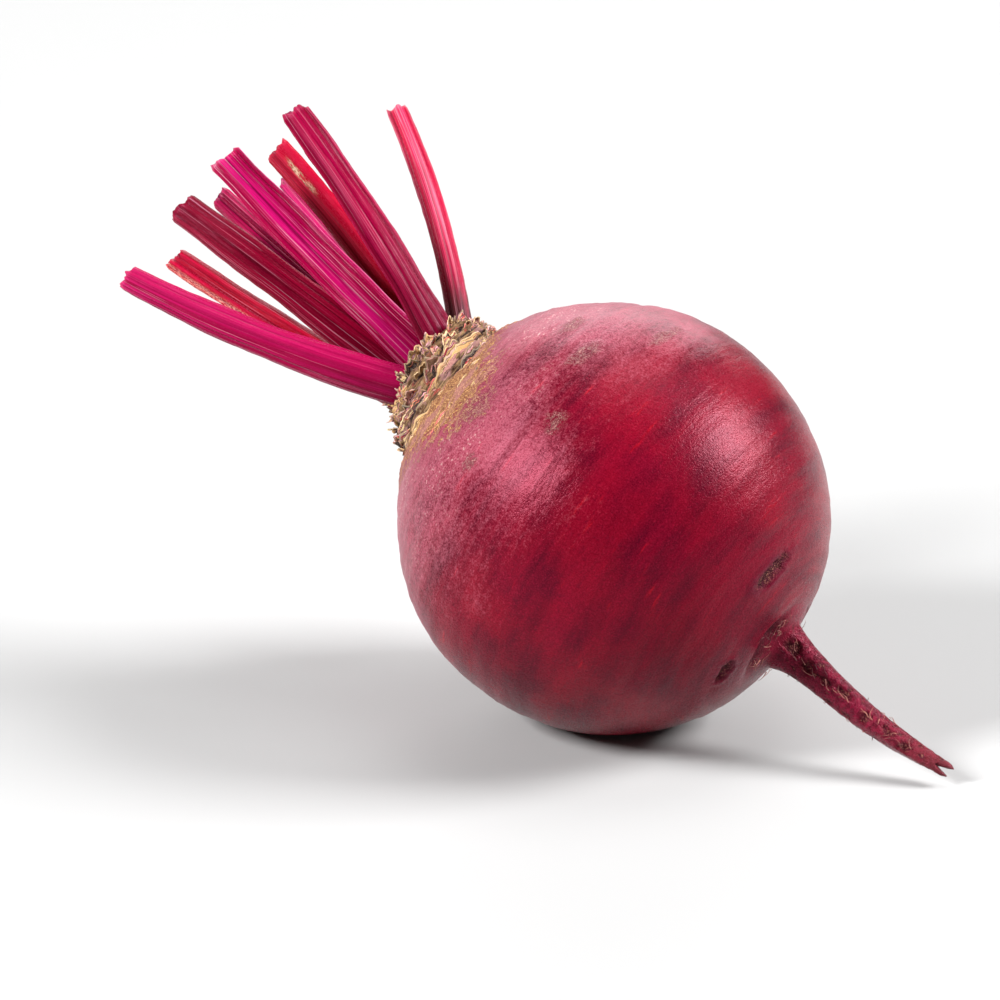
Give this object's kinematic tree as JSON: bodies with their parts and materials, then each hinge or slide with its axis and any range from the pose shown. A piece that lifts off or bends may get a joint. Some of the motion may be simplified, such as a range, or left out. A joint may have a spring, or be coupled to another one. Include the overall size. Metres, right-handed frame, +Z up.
{
  "type": "beetroot",
  "caption": "Round red beetroot lying on its side, with a tapering tail root, a corky crown and leaf stalks cut short.",
  "frame": {"origin": "centre of the flat spot that the globe rests on", "axes": "+Z up; +X level, from the crown and stalks towards the tail; +Y level, completing a right-handed frame"},
  "size_m": [0.1609, 0.0763, 0.102],
  "materials": {
    "skin": "dusty satin beetroot skin",
    "cork": "dry corky leaf scars, matte",
    "crimson": "fresh dark crimson stalk, satin",
    "magenta": "fresh magenta stalk, satin",
    "red": "fresh bright red stalk, satin",
    "rose": "drier pinkish red stalk, satin"
  },
  "bodies": {
    "root": {"root": "skin", "crown": "cork", "stalk_low_front": "crimson", "stalk_low_back": "red", "stalk_middle": "crimson", "stalk_middle_back": "crimson", "stalk_broad_front": "magenta", "stalk_scabbed": "red", "stalk_thin_back": "magenta", "stalk_high_front": "crimson", "stalk_high_back": "rose"}
  },
  "joints": []
}
